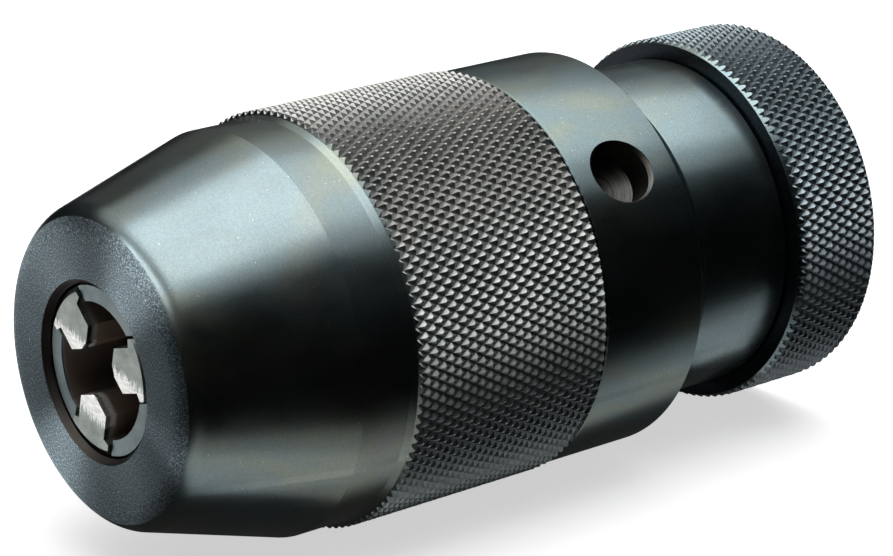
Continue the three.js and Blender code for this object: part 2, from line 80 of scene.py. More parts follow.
# ---------- hood ----------
CONE_LENGTH = 20.1 * MM
CONE_END = NOSE + CONE_LENGTH
BAND_LENGTH = 6.4 * MM
BAND_END = CONE_END + BAND_LENGTH
BAND_STEP = 0.55 * MM                 # the band's radius below the collar's
BAND_RADIUS = COLLAR_RADIUS - BAND_STEP
CONE_EXTRA_RISE = 0.25 * MM           # the outer cone gains this much on the inner one over its length
INNER_CONE_SLOPE = math.tan(math.radians(15.7))
OUTER_CONE_SLOPE = INNER_CONE_SLOPE + CONE_EXTRA_RISE / CONE_LENGTH
NOSE_FILLET = 3.8 * MM
NOSE_BORE_RADIUS = 10.0 * MM
NOSE_BORE_BEVEL = 0.9 * MM
NOSE_MOUTH_RADIUS = NOSE_BORE_RADIUS + NOSE_BORE_BEVEL
MOUTH_EDGE_SHARE = 0.2                # part of the mouth's bevel that has the nose face's finish
MOUTH_EDGE_POINTS = 6                 # points of the bore's profile that are on that edge
INNER_CONE_LENGTH = 34.5 * MM
INNER_CONE_END = NOSE + INNER_CONE_LENGTH
TURNED_CORNER = 0.12 * MM            # rounding that a lathe tool and polishing leave on an edge

# ---------- knurls ----------
KNURL_ANGLE = math.radians(30.4)      # each helix from the axis
KNURL_CREST_FLAT = 0.22               # part of a diamond that stays flat on its crest
HOOD_TEETH = 118
HOOD_TOOTH_DEPTH = 0.44 * MM
HOOD_KNURL_FRONT = (0.50 * MM, 0.30 * MM)     # (drop, length) of the bevel at this end
HOOD_KNURL_LEAD = 0.95 * MM           # gentle rise between the band and the first teeth
HOOD_KNURL_START = BAND_END + HOOD_KNURL_LEAD
HOOD_KNURL_REAR = (0.50 * MM, 0.28 * MM)
RING_TEETH = 108
RING_TOOTH_DEPTH = 0.47 * MM
RING_KNURL_FRONT = (0.50 * MM, 0.85 * MM)
RING_KNURL_REAR = (0.52 * MM, 0.4 * MM)

# ---------- sleeve ----------
COLLAR_FRONT_BEVEL = 0.15 * MM
COLLAR_REAR_BEVEL = 0.35 * MM
WEB_LENGTH = 13.8 * MM
WEB_START = COLLAR_END - WEB_LENGTH
SPANNER_HOLE_RADIUS = 4.0 * MM
SPANNER_HOLE_DEPTH = 4.2 * MM
SPANNER_HOLE_BEVEL = 0.5 * MM
SPANNER_HOLE_FROM_REAR = 8.2 * MM
SPANNER_HOLE_Y = COLLAR_END - SPANNER_HOLE_FROM_REAR
SPANNER_HOLE_CLOCK = math.radians(49.2)
DRILL_POINT_HALF_ANGLE = math.radians(59)

# ---------- body ----------
NECK_GROOVE_DEPTH = 1.8 * MM
NECK_GROOVE_RADIUS = NECK_RADIUS - NECK_GROOVE_DEPTH
NECK_EDGE_BEVEL = 0.1 * MM
BODY_EDGE_BEVEL = 0.6 * MM
RING_SEAT_STEP = 1.15 * MM
RING_SEAT_RADIUS = NECK_RADIUS - RING_SEAT_STEP
NUT_SEAT_DROP = 1.8 * MM
RACE_WIDTH = 4.2 * MM
STUB_RADIUS = SPIGOT_INNER_RADIUS - RACE_WIDTH - 2 * CLEARANCE
SOCKET_MOUTH_RADIUS = 7.8665 * MM
SOCKET_TAPER = 0.04995
SOCKET_DEPTH = 25.0 * MM
SOCKET_BEVEL = 0.6 * MM
BODY_BORE_RADIUS = 8.4 * MM
BODY_BORE_LENGTH = 31.4 * MM
SNAP_RING_WIDTH = 1.9 * MM            # radial size of the wire ring's seat in the body
SNAP_OUTER_RADIUS = (snap_high[0] - snap_low[0]) / 2

SMOOTH_SEGMENTS = 240
HOLE_SEGMENTS = 64
HOOD_CONE, HOOD_FACE, HOOD_BORE, HOOD_KNURL = range(4)        # material slots of each piece
SLEEVE_COLLAR, SLEEVE_HOLE = range(2)
RING_EDGE, RING_KNURL, RING_FACE = range(3)
SHARP_ANGLE = math.radians(28)
BEVEL_ANGLE = math.radians(25)
FLAT_HALF_ANGLE = math.radians(85)    # corners flatter than this are not rounded
TINY = 1e-7
ON_PLANE = 1e-8


# ====================================================================== meshes
class Surface:
    """Points and faces of one piece in the frame's own metres, gathered before they become a mesh."""

    def __init__(self):
        self.points = []
        self.faces = []
        self.slots = []

    def point(self, clock, station, radius):
        self.points.append((radius * math.sin(clock), station, AXIS_HEIGHT + radius * math.cos(clock)))
        return len(self.points) - 1

    def ring(self, radius, station, count):
        return [(clock, self.point(clock, station, radius)) for clock in turns(count)]

    def face(self, corners, slot):
        distinct = [c for i, c in enumerate(corners) if c != corners[i - 1]]
        if len(distinct) > 2:
            self.faces.append(distinct)
            self.slots.append(slot)

    def stitch(self, front, rear, slot):
        """Closes the band between two loops of (clock, point) that both run once round the axis."""
        front, rear = sorted(front), sorted(rear)
        i = j = 0
        while i < len(front) or j < len(rear):
            a, b = front[i % len(front)][1], rear[j % len(rear)][1]
            next_front = front[i + 1][0] if i + 1 < len(front) else front[0][0] + math.tau
            next_rear = rear[j + 1][0] if j + 1 < len(rear) else rear[0][0] + math.tau
            if j >= len(rear) or (i < len(front) and next_front <= next_rear):
                self.face([a, front[(i + 1) % len(front)][1], b], slot)
                i += 1
            else:
                self.face([a, rear[(j + 1) % len(rear)][1], b], slot)
                j += 1

    def lathe(self, profile, slots, count=SMOOTH_SEGMENTS):
        """Turns a profile of (radius, station) about the axis and returns its first and last rings."""
        rings = [self.ring(radius, station, count) for radius, station in profile]
        for index in range(len(rings) - 1):
            near, far = rings[index], rings[index + 1]
            for k in range(count):
                after = (k + 1) % count
                self.face([near[k][1], near[after][1], far[after][1], far[k][1]], slots(profile, index))
        return rings[0], rings[-1]

    def object(self, name, materials):
        mesh = bpy.data.meshes.new(name)
        mesh.from_pydata(self.points, [], self.faces)
        mesh.polygons.foreach_set("material_index", self.slots)
        mesh.polygons.foreach_set("use_smooth", [True] * len(mesh.polygons))
        for material in materials:
            mesh.materials.append(material)
        face_outwards(mesh)
        mesh.set_sharp_from_angle(angle=SHARP_ANGLE)
        obj = bpy.data.objects.new(name, mesh)
        bpy.context.scene.collection.objects.link(obj)
        return obj


def face_outwards(mesh):
    shell = bmesh.new()
    shell.from_mesh(mesh)
    bmesh.ops.recalc_face_normals(shell, faces=shell.faces)
    shell.to_mesh(mesh)
    shell.free()


def turns(count):
    return [math.tau * k / count for k in range(count)]


def rounded(profile, radius=TURNED_CORNER, steps=3, closed=False):
    """The profile with its corners rounded; each rounding takes at most a third of a side."""
    count = len(profile)
    out = []
    for i, corner in enumerate(profile):
        if not closed and i in (0, count - 1):
            out.append(corner)
            continue
        here = Vector(corner)
        before = Vector(profile[i - 1]) - here
        after = Vector(profile[(i + 1) % count]) - here
        half_angle = before.angle(after) / 2
        reach = min(radius / math.tan(half_angle), before.length / 3, after.length / 3)
        if half_angle > FLAT_HALF_ANGLE or reach < TINY:
            out.append(corner)
            continue
        start = here + before.normalized() * reach
        end = here + after.normalized() * reach
        for step in range(steps + 1):
            t = step / steps
            out.append(tuple((1 - t) ** 2 * start + 2 * t * (1 - t) * here + t ** 2 * end))
    return out


def clip(polygon, height):
    """Keeps the part of an unrolled polygon where height(point) is not above zero."""
    kept = []
    for i, here in enumerate(polygon):
        last = polygon[i - 1]
        h_last, h_here = height(last), height(here)
        if (h_last > 0) != (h_here > 0):
            t = h_last / (h_last - h_here)
            kept.append(tuple(p + (q - p) * t for p, q in zip(last, here)))
        if h_here <= 0:
            kept.append(here)
    return kept


def knurl(surface, crest, start, end, teeth, depth, front, rear, slot):
    """Rows of diamond pyramids between two bevels, each bevel given as (drop, length).

    Works on the unrolled band, where a point is (tooth number, station, radius) and a
    bevel is a plane. Returns the two open edges as loops of (clock, point).
    """
    pitch = math.tau * crest / teeth
    half_row = pitch / math.tan(KNURL_ANGLE) / 2
    flat = KNURL_CREST_FLAT
    middle = (start + end) / 2
    rows = math.ceil((end - start) / 2 / half_row) + 1
    root = crest - depth
    known = {}
    loops = {"front": {}, "rear": {}}

    def front_height(p):
        return p[2] - (crest - front[0]) - (p[1] - start) * front[0] / front[1]

    def rear_height(p):
        return p[2] - (crest - rear[0]) - (end - p[1]) * rear[0] / rear[1]

    def index_of(p):
        key = (round(p[0] % teeth, 4) % teeth, round(p[1], 7))
        if key not in known:
            known[key] = surface.point(math.tau * key[0] / teeth, p[1], p[2])
            for name, height in (("front", front_height), ("rear", rear_height)):
                if abs(height(p)) < ON_PLANE:
                    loops[name][known[key]] = math.tau * key[0] / teeth
        return known[key]

    for column in range(2 * teeth):
        for row in range(-rows, rows + 1):
            if (column + row) % 2 == 0:
                continue
            across, along = column / 2, middle + row * half_row
            base = [(0.5, 0), (0, half_row), (-0.5, 0), (0, -half_row)]
            outer = [(across + da, along + dy, root) for da, dy in base]
            inner = [(across + da * flat, along + dy * flat, crest) for da, dy in base]
            faces = [inner]
            faces += [[outer[i], outer[(i + 1) % 4], inner[(i + 1) % 4], inner[i]] for i in range(4)]
            for corners in faces:
                corners = clip(clip(corners, front_height), rear_height)
                if len(corners) > 2:
                    surface.face([index_of(p) for p in corners], slot)
    return [[(clock, point) for point, clock in loops[name].items()] for name in ("front", "rear")]


# =================================================================== materials
class Nodes:
    """Small helper that adds nodes to one material and wires them by socket name."""

    def __init__(self, name):
        self.material = bpy.data.materials.new(name)
        self.material.use_nodes = True
        self.tree = self.material.node_tree
        self.shader = self.tree.nodes["Principled BSDF"]
        self.place = self.tree.nodes.new("ShaderNodeTexCoord").outputs["Object"]

    def add(self, kind, inputs=None, **settings):
        node = self.tree.nodes.new(kind)
        for name, value in settings.items():
            setattr(node, name, value)
        for name, value in (inputs or {}).items():
            if isinstance(value, bpy.types.NodeSocket):
                self.tree.links.new(value, node.inputs[name])
            else:
                node.inputs[name].default_value = value
        return node

    def stretched(self, scale):
        """Object coordinates scaled per axis, in features per metre."""
        return self.add("ShaderNodeMapping", {"Vector": self.place, "Scale": scale}).outputs["Vector"]

    def noise(self, vector, detail=3.0, roughness=0.55, distortion=0.0):
        inputs = {"Vector": vector, "Scale": 1.0, "Detail": detail, "Roughness": roughness,
                  "Distortion": distortion}
        return self.add("ShaderNodeTexNoise", inputs).outputs["Fac"]

    def ramp(self, factor, stops):
        node = self.add("ShaderNodeValToRGB", {"Fac": factor})
        while len(node.color_ramp.elements) < len(stops):
            node.color_ramp.elements.new(0.5)
        for element, (position, colour) in zip(node.color_ramp.elements, stops):
            element.position = position
            element.color = colour if len(colour) == 4 else (*colour, 1.0)
        return node.outputs["Color"]

    def grey(self, factor, low, high, start=0.35, end=0.65):
        node = self.add("ShaderNodeMapRange", {"Value": factor, "From Min": start, "From Max": end,
                                                "To Min": low, "To Max": high})
        return node.outputs["Result"]

    def mix(self, factor, first, second, blend="MIX"):
        node = self.add("ShaderNodeMix", data_type="RGBA", blend_type=blend)
        for socket, value in ((node.inputs[0], factor), (node.inputs[6], first), (node.inputs[7], second)):
            if isinstance(value, bpy.types.NodeSocket):
                self.tree.links.new(value, socket)
            else:
                socket.default_value = value if socket.type == "VALUE" else (*value, 1.0)
        return node.outputs[2]

    def flecks(self, per_metre, size, share):
        """1 on sparse round dots: size is the dot's part of its cell, share the part of cells used."""
        cells = self.add("ShaderNodeTexVoronoi", {"Vector": self.place, "Scale": per_metre})
        used = self.add("ShaderNodeSeparateColor", {"Color": cells.outputs["Color"]}).outputs["Red"]
        near = self.add("ShaderNodeMath", {0: cells.outputs["Distance"], 1: size}, operation="LESS_THAN")
        chosen = self.add("ShaderNodeMath", {0: used, 1: share}, operation="LESS_THAN")
        return self.add("ShaderNodeMath", {0: near.outputs[0], 1: chosen.outputs[0]},
                        operation="MULTIPLY").outputs[0]

    def band(self, axis, centre, half_width):
        """1 at a station of the given axis, falling to 0 at half_width from it."""
        part = self.add("ShaderNodeSeparateXYZ", {"Vector": self.place}).outputs[axis]
        offset = self.add("ShaderNodeMath", {0: part, 1: centre}, operation="SUBTRACT").outputs[0]
        away = self.add("ShaderNodeMath", {0: offset}, operation="ABSOLUTE").outputs[0]
        return self.grey(away, 1.0, 0.0, 0.0, half_width)

    def depth(self, start, end):
        """0 up to the station called start and 1 from end on; start may lie behind end."""
        station = self.add("ShaderNodeSeparateXYZ", {"Vector": self.place}).outputs["Y"]
        low, high = min(start, end), max(start, end)
        first, last = (0.0, 1.0) if start < end else (1.0, 0.0)
        return self.grey(station, first, last, low, high)

    def turned(self, anisotropy):
        """Turning grooves run round the chuck's axis, so gloss stretches across them."""
        spoke = self.add("ShaderNodeVectorMath", {0: self.place, 1: (0, 0, AXIS_HEIGHT)},
                         operation="SUBTRACT")
        tangent = self.add("ShaderNodeVectorMath", {0: (0, 1, 0), 1: spoke.outputs[0]},
                           operation="CROSS_PRODUCT")
        world = self.add("ShaderNodeVectorTransform", {"Vector": tangent.outputs[0]}, vector_type="VECTOR",
                         convert_from="OBJECT", convert_to="WORLD")
        self.tree.links.new(world.outputs[0], self.shader.inputs["Tangent"])
        self.shader.inputs["Anisotropic"].default_value = anisotropy
        self.shader.inputs["Anisotropic Rotation"].default_value = 0.25

    def bump(self, height, distance, strength=1.0, before=None):
        inputs = {"Height": height, "Distance": distance, "Strength": strength}
        if before is not None:
            inputs["Normal"] = before
        return self.add("ShaderNodeBump", inputs).outputs["Normal"]

    def finish(self, colour, roughness, normal=None, metallic=1.0):
        given = (("Base Color", colour), ("Roughness", roughness), ("Normal", normal),
                 ("Metallic", metallic))
        for name, value in given:
            if isinstance(value, bpy.types.NodeSocket):
                self.tree.links.new(value, self.shader.inputs[name])
            elif value is not None:
                self.shader.inputs[name].default_value = value
        return self.material


STAIN_STATION = NECK_END - 0.9 * MM   # a thin ring of rust on the neck, in front of the holding ring
STAIN_HALF_WIDTH = 0.3 * MM


def turned_oxide(name, tint, roughness, stained=None):
    """Black oxide over a fine-turned surface: temper mottling, turning lines, flecks."""
    n = Nodes(name)
    mottle = n.noise(n.stretched((75, 45, 75)), detail=5.0, roughness=0.6, distortion=0.8)
    temper = n.ramp(mottle, [
        (0.28, (tint[0] * 0.88, tint[1] * 0.88, tint[2] * 0.90)),
        (0.42, (tint[0] * 0.90, tint[1] * 1.00, tint[2] * 1.12)),
        (0.52, tint),
        (0.62, (tint[0] * 1.16, tint[1] * 1.08, tint[2] * 0.90)),
        (0.72, (tint[0] * 1.12, tint[1] * 0.94, tint[2] * 1.04)),
    ])
    lines = n.noise(n.stretched((25, 5200, 25)), detail=5.0, roughness=0.7)
    streaked = n.mix(n.grey(lines, 0.0, 0.16), temper, tuple(c * 0.6 for c in tint))
    grain = n.noise(n.stretched((4600, 4600, 4600)), detail=2.0)
    grained = n.mix(n.grey(grain, 0.0, 0.30, 0.4, 0.6), streaked, tuple(c * 1.5 for c in tint))
    if stained is not None:
        rust = n.noise(n.stretched((900, 900, 900)), detail=4.0)
        spots = n.grey(rust, 0.0, 1.0, 0.45, 0.6)
        strip = n.band("Y", stained, STAIN_HALF_WIDTH)
        worn = n.add("ShaderNodeMath", {0: spots, 1: strip}, operation="MULTIPLY").outputs[0]
        grained = n.mix(worn, grained, (0.34, 0.22, 0.13))
    flecked = n.mix(n.flecks(1500, 0.085, 0.12), grained, (0.75, 0.78, 0.76))
    smudge = n.noise(n.stretched((160, 90, 160)), detail=5.0)
    gloss = n.grey(smudge, roughness * 0.92, roughness * 1.18)
    grooves = n.bump(lines, 0.0000035)
    normal = n.bump(grain, 0.000004, before=grooves)
    n.turned(0.45)
    return n.finish(flecked, gloss, normal)


def nose_face_oxide():
    """Matte, fine-grained black oxide of the nose face, turned in rings."""
    n = Nodes("oxide_nose_face")
    tint = (0.235, 0.302, 0.335)
    mottle = n.noise(n.stretched((170, 170, 170)), detail=5.0)
    base = n.mix(n.grey(mottle, 0.0, 0.35), tint, tuple(c * 0.7 for c in tint))
    grain = n.noise(n.stretched((5000, 5000, 5000)), detail=2.5, roughness=0.75)
    dark = n.mix(n.grey(grain, 0.85, 0.0, 0.32, 0.50), base, tuple(c * 0.25 for c in tint))
    speckled = n.mix(n.grey(grain, 0.0, 0.9, 0.52, 0.64), dark, (0.72, 0.84, 0.90))
    flecked = n.mix(n.flecks(900, 0.10, 0.16), speckled, (0.85, 0.90, 0.92))
    n.turned(1.0)
    return n.finish(flecked, n.grey(grain, 0.46, 0.62), n.bump(grain, 0.000026))


def painted_shade_ring_face():
    """Face and bore of the holding ring, coloured near black as painted shade for the shaded front face.
    """
    n = Nodes("oxide_ring_face_painted_shade")
    grain = n.noise(n.stretched((3000, 3000, 3000)), detail=3.0)
    # painted shade: near-black colour standing in for the shade on the ring's front face
    colour = n.mix(n.grey(grain, 0.0, 0.6), (0.020, 0.026, 0.032), (0.055, 0.065, 0.075))
    return n.finish(colour, n.grey(grain, 0.34, 0.46), n.bump(grain, 0.000008))


def knurl_oxide(name, top_reflection_tint, underside_reflection_tint):
    """Black oxide on cut knurling: a painted reflection tints it by height, on the hood warmer on top and
    bluer below; oily patches.
    """
    n = Nodes(name)
    # painted reflection: the tint runs from the underside tint to the top tint with height, standing in
    # for reflected surroundings
    height = n.add("ShaderNodeSeparateXYZ", {"Vector": n.place}).outputs["Z"]
    top_reflection_mask = n.grey(height, 0.0, 1.0, AXIS_HEIGHT - KNURL_RADIUS / 2, AXIS_HEIGHT + KNURL_RADIUS)
    base = n.mix(top_reflection_mask, underside_reflection_tint, top_reflection_tint)
    patch = n.noise(n.stretched((90, 90, 90)), detail=4.0)
    stained = n.mix(n.grey(patch, 0.0, 0.5), base, tuple(c * 0.6 for c in underside_reflection_tint))
    wear = n.noise(n.stretched((2300, 2300, 2300)), detail=3.0)
    rubbed = n.mix(n.grey(wear, 0.0, 0.55, 0.47, 0.68), stained, (0.42, 0.45, 0.45))
    rough = n.grey(n.noise(n.stretched((1200, 1200, 1200)), detail=3.0), 0.37, 0.52)
    normal = n.bump(n.noise(n.stretched((3800, 3800, 3800)), detail=3.0), 0.000014)
    return n.finish(rubbed, rough, normal)


def bore_oxide():
    """Oily, brown-black oxide inside bores."""
    n = Nodes("oxide_bore")
    lines = n.noise(n.stretched((40, 2600, 40)), detail=4.0)
    colour = n.ramp(n.noise(n.stretched((120, 120, 120)), detail=4.0), [
        (0.3, (0.045, 0.042, 0.039)),
        (0.6, (0.075, 0.067, 0.060)),
        (0.8, (0.120, 0.104, 0.090)),
    ])
    return n.finish(colour, n.grey(lines, 0.38, 0.55), n.bump(lines, 0.00001))


def drilled_oxide():
    """Wall and point of the drilled spanner hole: dark, with brown patches and tool rings."""
    n = Nodes("oxide_drilled")
    spoke = n.add("ShaderNodeVectorMath", {0: n.place, 1: (0, SPANNER_HOLE_Y, AXIS_HEIGHT)},
                  operation="SUBTRACT")
    outwards = (math.sin(SPANNER_HOLE_CLOCK), 0, math.cos(SPANNER_HOLE_CLOCK))
    across = n.add("ShaderNodeVectorMath", {0: spoke.outputs[0], 1: outwards}, operation="CROSS_PRODUCT")
    distance = n.add("ShaderNodeVectorMath", {0: across.outputs[0]}, operation="LENGTH").outputs["Value"]
    along = n.add("ShaderNodeCombineXYZ", {"X": distance}).outputs[0]
    spread = n.add("ShaderNodeMapping", {"Vector": along, "Scale": (5200, 1, 1)}).outputs["Vector"]
    rings = n.noise(spread, detail=3.0)
    colour = n.ramp(n.noise(n.stretched((330, 330, 330)), detail=4.0), [
        (0.3, (0.030, 0.030, 0.029)),
        (0.50, (0.070, 0.069, 0.065)),
        (0.66, (0.105, 0.080, 0.058)),
        (0.80, (0.300, 0.290, 0.270)),
    ])
    ringed = n.mix(n.grey(rings, 0.0, 0.7, 0.42, 0.58), colour, (0.19, 0.19, 0.18))
    return n.finish(ringed, n.grey(rings, 0.28, 0.5), n.bump(rings, 0.00003))


OIL_BROWN = (0.085, 0.062, 0.047)     # oil film on what lies behind the guide's front face
OIL_START = NOSE + 1.1 * MM
JAW_OIL_END = NOSE + 2.2 * MM
GUIDE_OIL_END = NOSE + 1.5 * MM
HIGHLIGHT_STRIPE_TILT = 0.22                    # the painted highlight stripe across the jaw faces falls towards +X
HIGHLIGHT_STRIPE_HEIGHT = AXIS_HEIGHT - 2.0 * MM
HIGHLIGHT_STRIPE_HALF_WIDTH = 4.0 * MM
HIGHLIGHT_STRIPE_RAGGED = 0.7 * MM
HIGHLIGHT_STRIPE_EDGE = 0.5 * MM


def ground_steel():
    """Ground jaw steel: matt grey with scratches, and a painted highlight, a bright stripe across the jaw
    faces.
    """
    n = Nodes("ground_steel")
    scratches = n.noise(n.stretched((900, 900, 5200)), detail=4.0, roughness=0.7)
    crossed = n.noise(n.stretched((5200, 900, 700)), detail=4.0, roughness=0.7)
    stain = n.noise(n.stretched((420, 420, 420)), detail=4.0)
    matt = n.ramp(stain, [
        (0.3, (0.20, 0.23, 0.21)),
        (0.5, (0.29, 0.32, 0.30)),
        (0.75, (0.40, 0.43, 0.40)),
    ])
    highlight_steel = n.mix(n.grey(scratches, 0.0, 0.55, 0.40, 0.60), (1.0, 1.0, 0.97), (0.55, 0.56, 0.54))
    # painted highlight: a tilted stripe with ragged edges across the jaw faces gets the bright steel
    # colour
    place = n.add("ShaderNodeSeparateXYZ", {"Vector": n.place})
    tilted = n.add("ShaderNodeMath", {0: place.outputs["X"], 1: HIGHLIGHT_STRIPE_TILT, 2: place.outputs["Z"]},
                   operation="MULTIPLY_ADD").outputs[0]
    edge = n.add("ShaderNodeMath", {0: n.grey(crossed, -1.0, 1.0), 1: HIGHLIGHT_STRIPE_RAGGED, 2: tilted},
                 operation="MULTIPLY_ADD").outputs[0]
    off = n.add("ShaderNodeMath", {0: edge, 1: HIGHLIGHT_STRIPE_HEIGHT}, operation="SUBTRACT").outputs[0]
    away = n.add("ShaderNodeMath", {0: off}, operation="ABSOLUTE").outputs[0]
    highlight_stripe = n.grey(away, 1.0, 0.0, HIGHLIGHT_STRIPE_HALF_WIDTH, HIGHLIGHT_STRIPE_HALF_WIDTH + HIGHLIGHT_STRIPE_EDGE)
    colour = n.mix(highlight_stripe, matt, highlight_steel)
    oily = n.mix(n.depth(OIL_START, JAW_OIL_END), colour, OIL_BROWN)
    bare = n.depth(JAW_OIL_END, OIL_START)
    return n.finish(oily, n.grey(scratches, 0.26, 0.40), n.bump(scratches, 0.000010), metallic=bare)


def blued_steel():
    """Jaw guide, screw, nut and snap ring: blue-grey tempered steel."""
    n = Nodes("blued_steel")
    stain = n.noise(n.stretched((260, 260, 260)), detail=4.0)
    colour = n.ramp(stain, [
        (0.3, (0.185, 0.225, 0.230)),
        (0.55, (0.270, 0.325, 0.332)),
        (0.8, (0.370, 0.425, 0.425)),
    ])
    grain = n.noise(n.stretched((4200, 4200, 4200)), detail=3.0)
    oily = n.mix(n.depth(OIL_START, GUIDE_OIL_END), colour, OIL_BROWN)
    bare = n.depth(GUIDE_OIL_END, OIL_START)
    n.turned(0.85)
    return n.finish(oily, n.grey(grain, 0.34, 0.48), n.bump(grain, 0.000012), metallic=bare)


def bearing_steel():
    """Bright hardened balls and races."""
    n = Nodes("bearing_steel")
    lines = n.noise(n.stretched((300, 5200, 300)), detail=3.0)
    colour = n.mix(n.grey(lines, 0.0, 0.4), (0.62, 0.63, 0.64), (0.48, 0.49, 0.50))
    return n.finish(colour, n.grey(lines, 0.14, 0.26), n.bump(lines, 0.000002))


def cage_brass():
    """Brass of the ball cage, a little tarnished."""
    n = Nodes("cage_brass")
    stain = n.noise(n.stretched((500, 500, 500)), detail=4.0)
    colour = n.mix(n.grey(stain, 0.0, 0.7), (0.62, 0.43, 0.17), (0.40, 0.27, 0.11))
    return n.finish(colour, n.grey(stain, 0.26, 0.42), n.bump(stain, 0.000004))


CONE_OXIDE = turned_oxide("oxide_cone", (0.222, 0.264, 0.255), 0.30)
COLLAR_OXIDE = turned_oxide("oxide_collar", (0.200, 0.250, 0.246), 0.28)
NECK_OXIDE = turned_oxide("oxide_neck", (0.236, 0.295, 0.2903), 0.27, stained=STAIN_STATION)
FACE_OXIDE = nose_face_oxide()
# painted shade: the holding ring's face and bore are coloured near black
RING_FACE_PAINTED_SHADE = painted_shade_ring_face()
# each knurl's first tint is its painted reflection on top, the second its painted reflection underneath
HOOD_KNURL_OXIDE = knurl_oxide("oxide_hood_knurl", (0.440, 0.425, 0.400), (0.330, 0.385, 0.388))
RING_KNURL_OXIDE = knurl_oxide("oxide_ring_knurl", (0.260, 0.320, 0.350), (0.250, 0.300, 0.325))
BORE_OXIDE = bore_oxide()
DRILLED_OXIDE = drilled_oxide()
GROUND_STEEL = ground_steel()
BLUED_STEEL = blued_steel()
BEARING_STEEL = bearing_steel()
CAGE_BRASS = cage_brass()


# ====================================================================== pieces
def outer_cone_radius(station):
    return BAND_RADIUS - (CONE_END - station) * OUTER_CONE_SLOPE


def inner_cone_radius(station):
    return NOSE_BORE_RADIUS + (station - NOSE) * INNER_CONE_SLOPE


def nose_rounding(steps=14):
    """Arc between the flat nose face and the outer cone, from the face outwards."""
    sweep = math.pi / 2 - math.atan(OUTER_CONE_SLOPE)
    centre = outer_cone_radius(NOSE) - NOSE_FILLET * math.tan(sweep / 2)
    angles = [sweep * step / steps for step in range(steps + 1)]
    return [(centre + NOSE_FILLET * math.sin(a), NOSE + NOSE_FILLET * (1 - math.cos(a))) for a in angles]


def make_hood():
    materials = [CONE_OXIDE, FACE_OXIDE, BORE_OXIDE, HOOD_KNURL_OXIDE]
    surface = Surface()
    front, rear = knurl(surface, KNURL_RADIUS, HOOD_KNURL_START, HOOD_END, HOOD_TEETH, HOOD_TOOTH_DEPTH,
                        HOOD_KNURL_FRONT, HOOD_KNURL_REAR, HOOD_KNURL)
    arc = nose_rounding()
    inside = [
        (KNURL_RADIUS - HOOD_KNURL_REAR[0], HOOD_END),
        (HOOD_BORE_RADIUS, HOOD_END),
        (HOOD_BORE_RADIUS, INNER_CONE_END),
        (inner_cone_radius(INNER_CONE_END), INNER_CONE_END),
        (inner_cone_radius(NOSE + NOSE_BORE_BEVEL), NOSE + NOSE_BORE_BEVEL),
        (NOSE_MOUTH_RADIUS, NOSE),
        arc[0],
    ]
    outside = [
        (BAND_RADIUS, CONE_END),
        (BAND_RADIUS, BAND_END),
        (KNURL_RADIUS - HOOD_KNURL_FRONT[0], HOOD_KNURL_START),
    ]
    bore = rounded(inside)
    profile = bore + arc[1:-1] + rounded([arc[-1]] + outside)
    face_limit = arc[len(arc) // 2][0]
    mouth = NOSE_MOUTH_RADIUS - MOUTH_EDGE_SHARE * NOSE_BORE_BEVEL

    def slots(profile, index):
        radii, stations = zip(*profile[index:index + 2])
        on_nose = max(stations) < NOSE + NOSE_FILLET
        if on_nose and min(radii) >= mouth and max(radii) <= face_limit:
            return HOOD_FACE
        if on_nose and min(radii) < mouth or index < len(bore) - MOUTH_EDGE_POINTS:
            return HOOD_BORE
        return HOOD_CONE

    first, last = surface.lathe(profile, slots, 2 * HOOD_TEETH)
    surface.stitch(last, front, HOOD_CONE)
    surface.stitch(rear, first, HOOD_CONE)
    return surface.object("hood_shell", materials)


def radial_tool(name, profile, station, clock, materials, slot):
    """A turned cutter whose axis points outwards through the chuck's axis."""
    points, faces = [(0.0, 0.0, profile[0][1])], []
    for radius, height in profile[1:-1]:
        points += [(radius * math.sin(a), radius * math.cos(a), height) for a in turns(HOLE_SEGMENTS)]
    points.append((0.0, 0.0, profile[-1][1]))
    rows = len(profile) - 2
    for k in range(HOLE_SEGMENTS):
        after = (k + 1) % HOLE_SEGMENTS
        faces.append((0, 1 + k, 1 + after))
        for row in range(rows - 1):
            low, high = 1 + row * HOLE_SEGMENTS, 1 + (row + 1) * HOLE_SEGMENTS
            faces.append((low + k, high + k, high + after, low + after))
        top = 1 + (rows - 1) * HOLE_SEGMENTS
        faces.append((top + after, top + k, len(points) - 1))
    mesh = bpy.data.meshes.new(name)
    mesh.from_pydata(points, [], faces)
    face_outwards(mesh)
    for material in materials:
        mesh.materials.append(material)
    mesh.polygons.foreach_set("material_index", [slot] * len(faces))
    mesh.polygons.foreach_set("use_smooth", [True] * len(faces))
    place = Matrix.Translation((0, station, AXIS_HEIGHT)) @ Matrix.Rotation(clock, 4, "Y")
    mesh.transform(place)
    obj = bpy.data.objects.new(name, mesh)
    bpy.context.scene.collection.objects.link(obj)
    return obj


def subtract(piece, tool):
    """Cuts the tool out of the piece and leaves a plain mesh without modifiers."""
    boolean = piece.modifiers.new("cut", "BOOLEAN")
    boolean.operation = "DIFFERENCE"
    boolean.solver = "EXACT"
    boolean.object = tool
    graph = bpy.context.evaluated_depsgraph_get()
    result = bpy.data.meshes.new_from_object(piece.evaluated_get(graph))
    piece.modifiers.clear()
    result.set_sharp_from_angle(angle=SHARP_ANGLE)
    piece.data = result
    bpy.data.objects.remove(tool)
    return piece


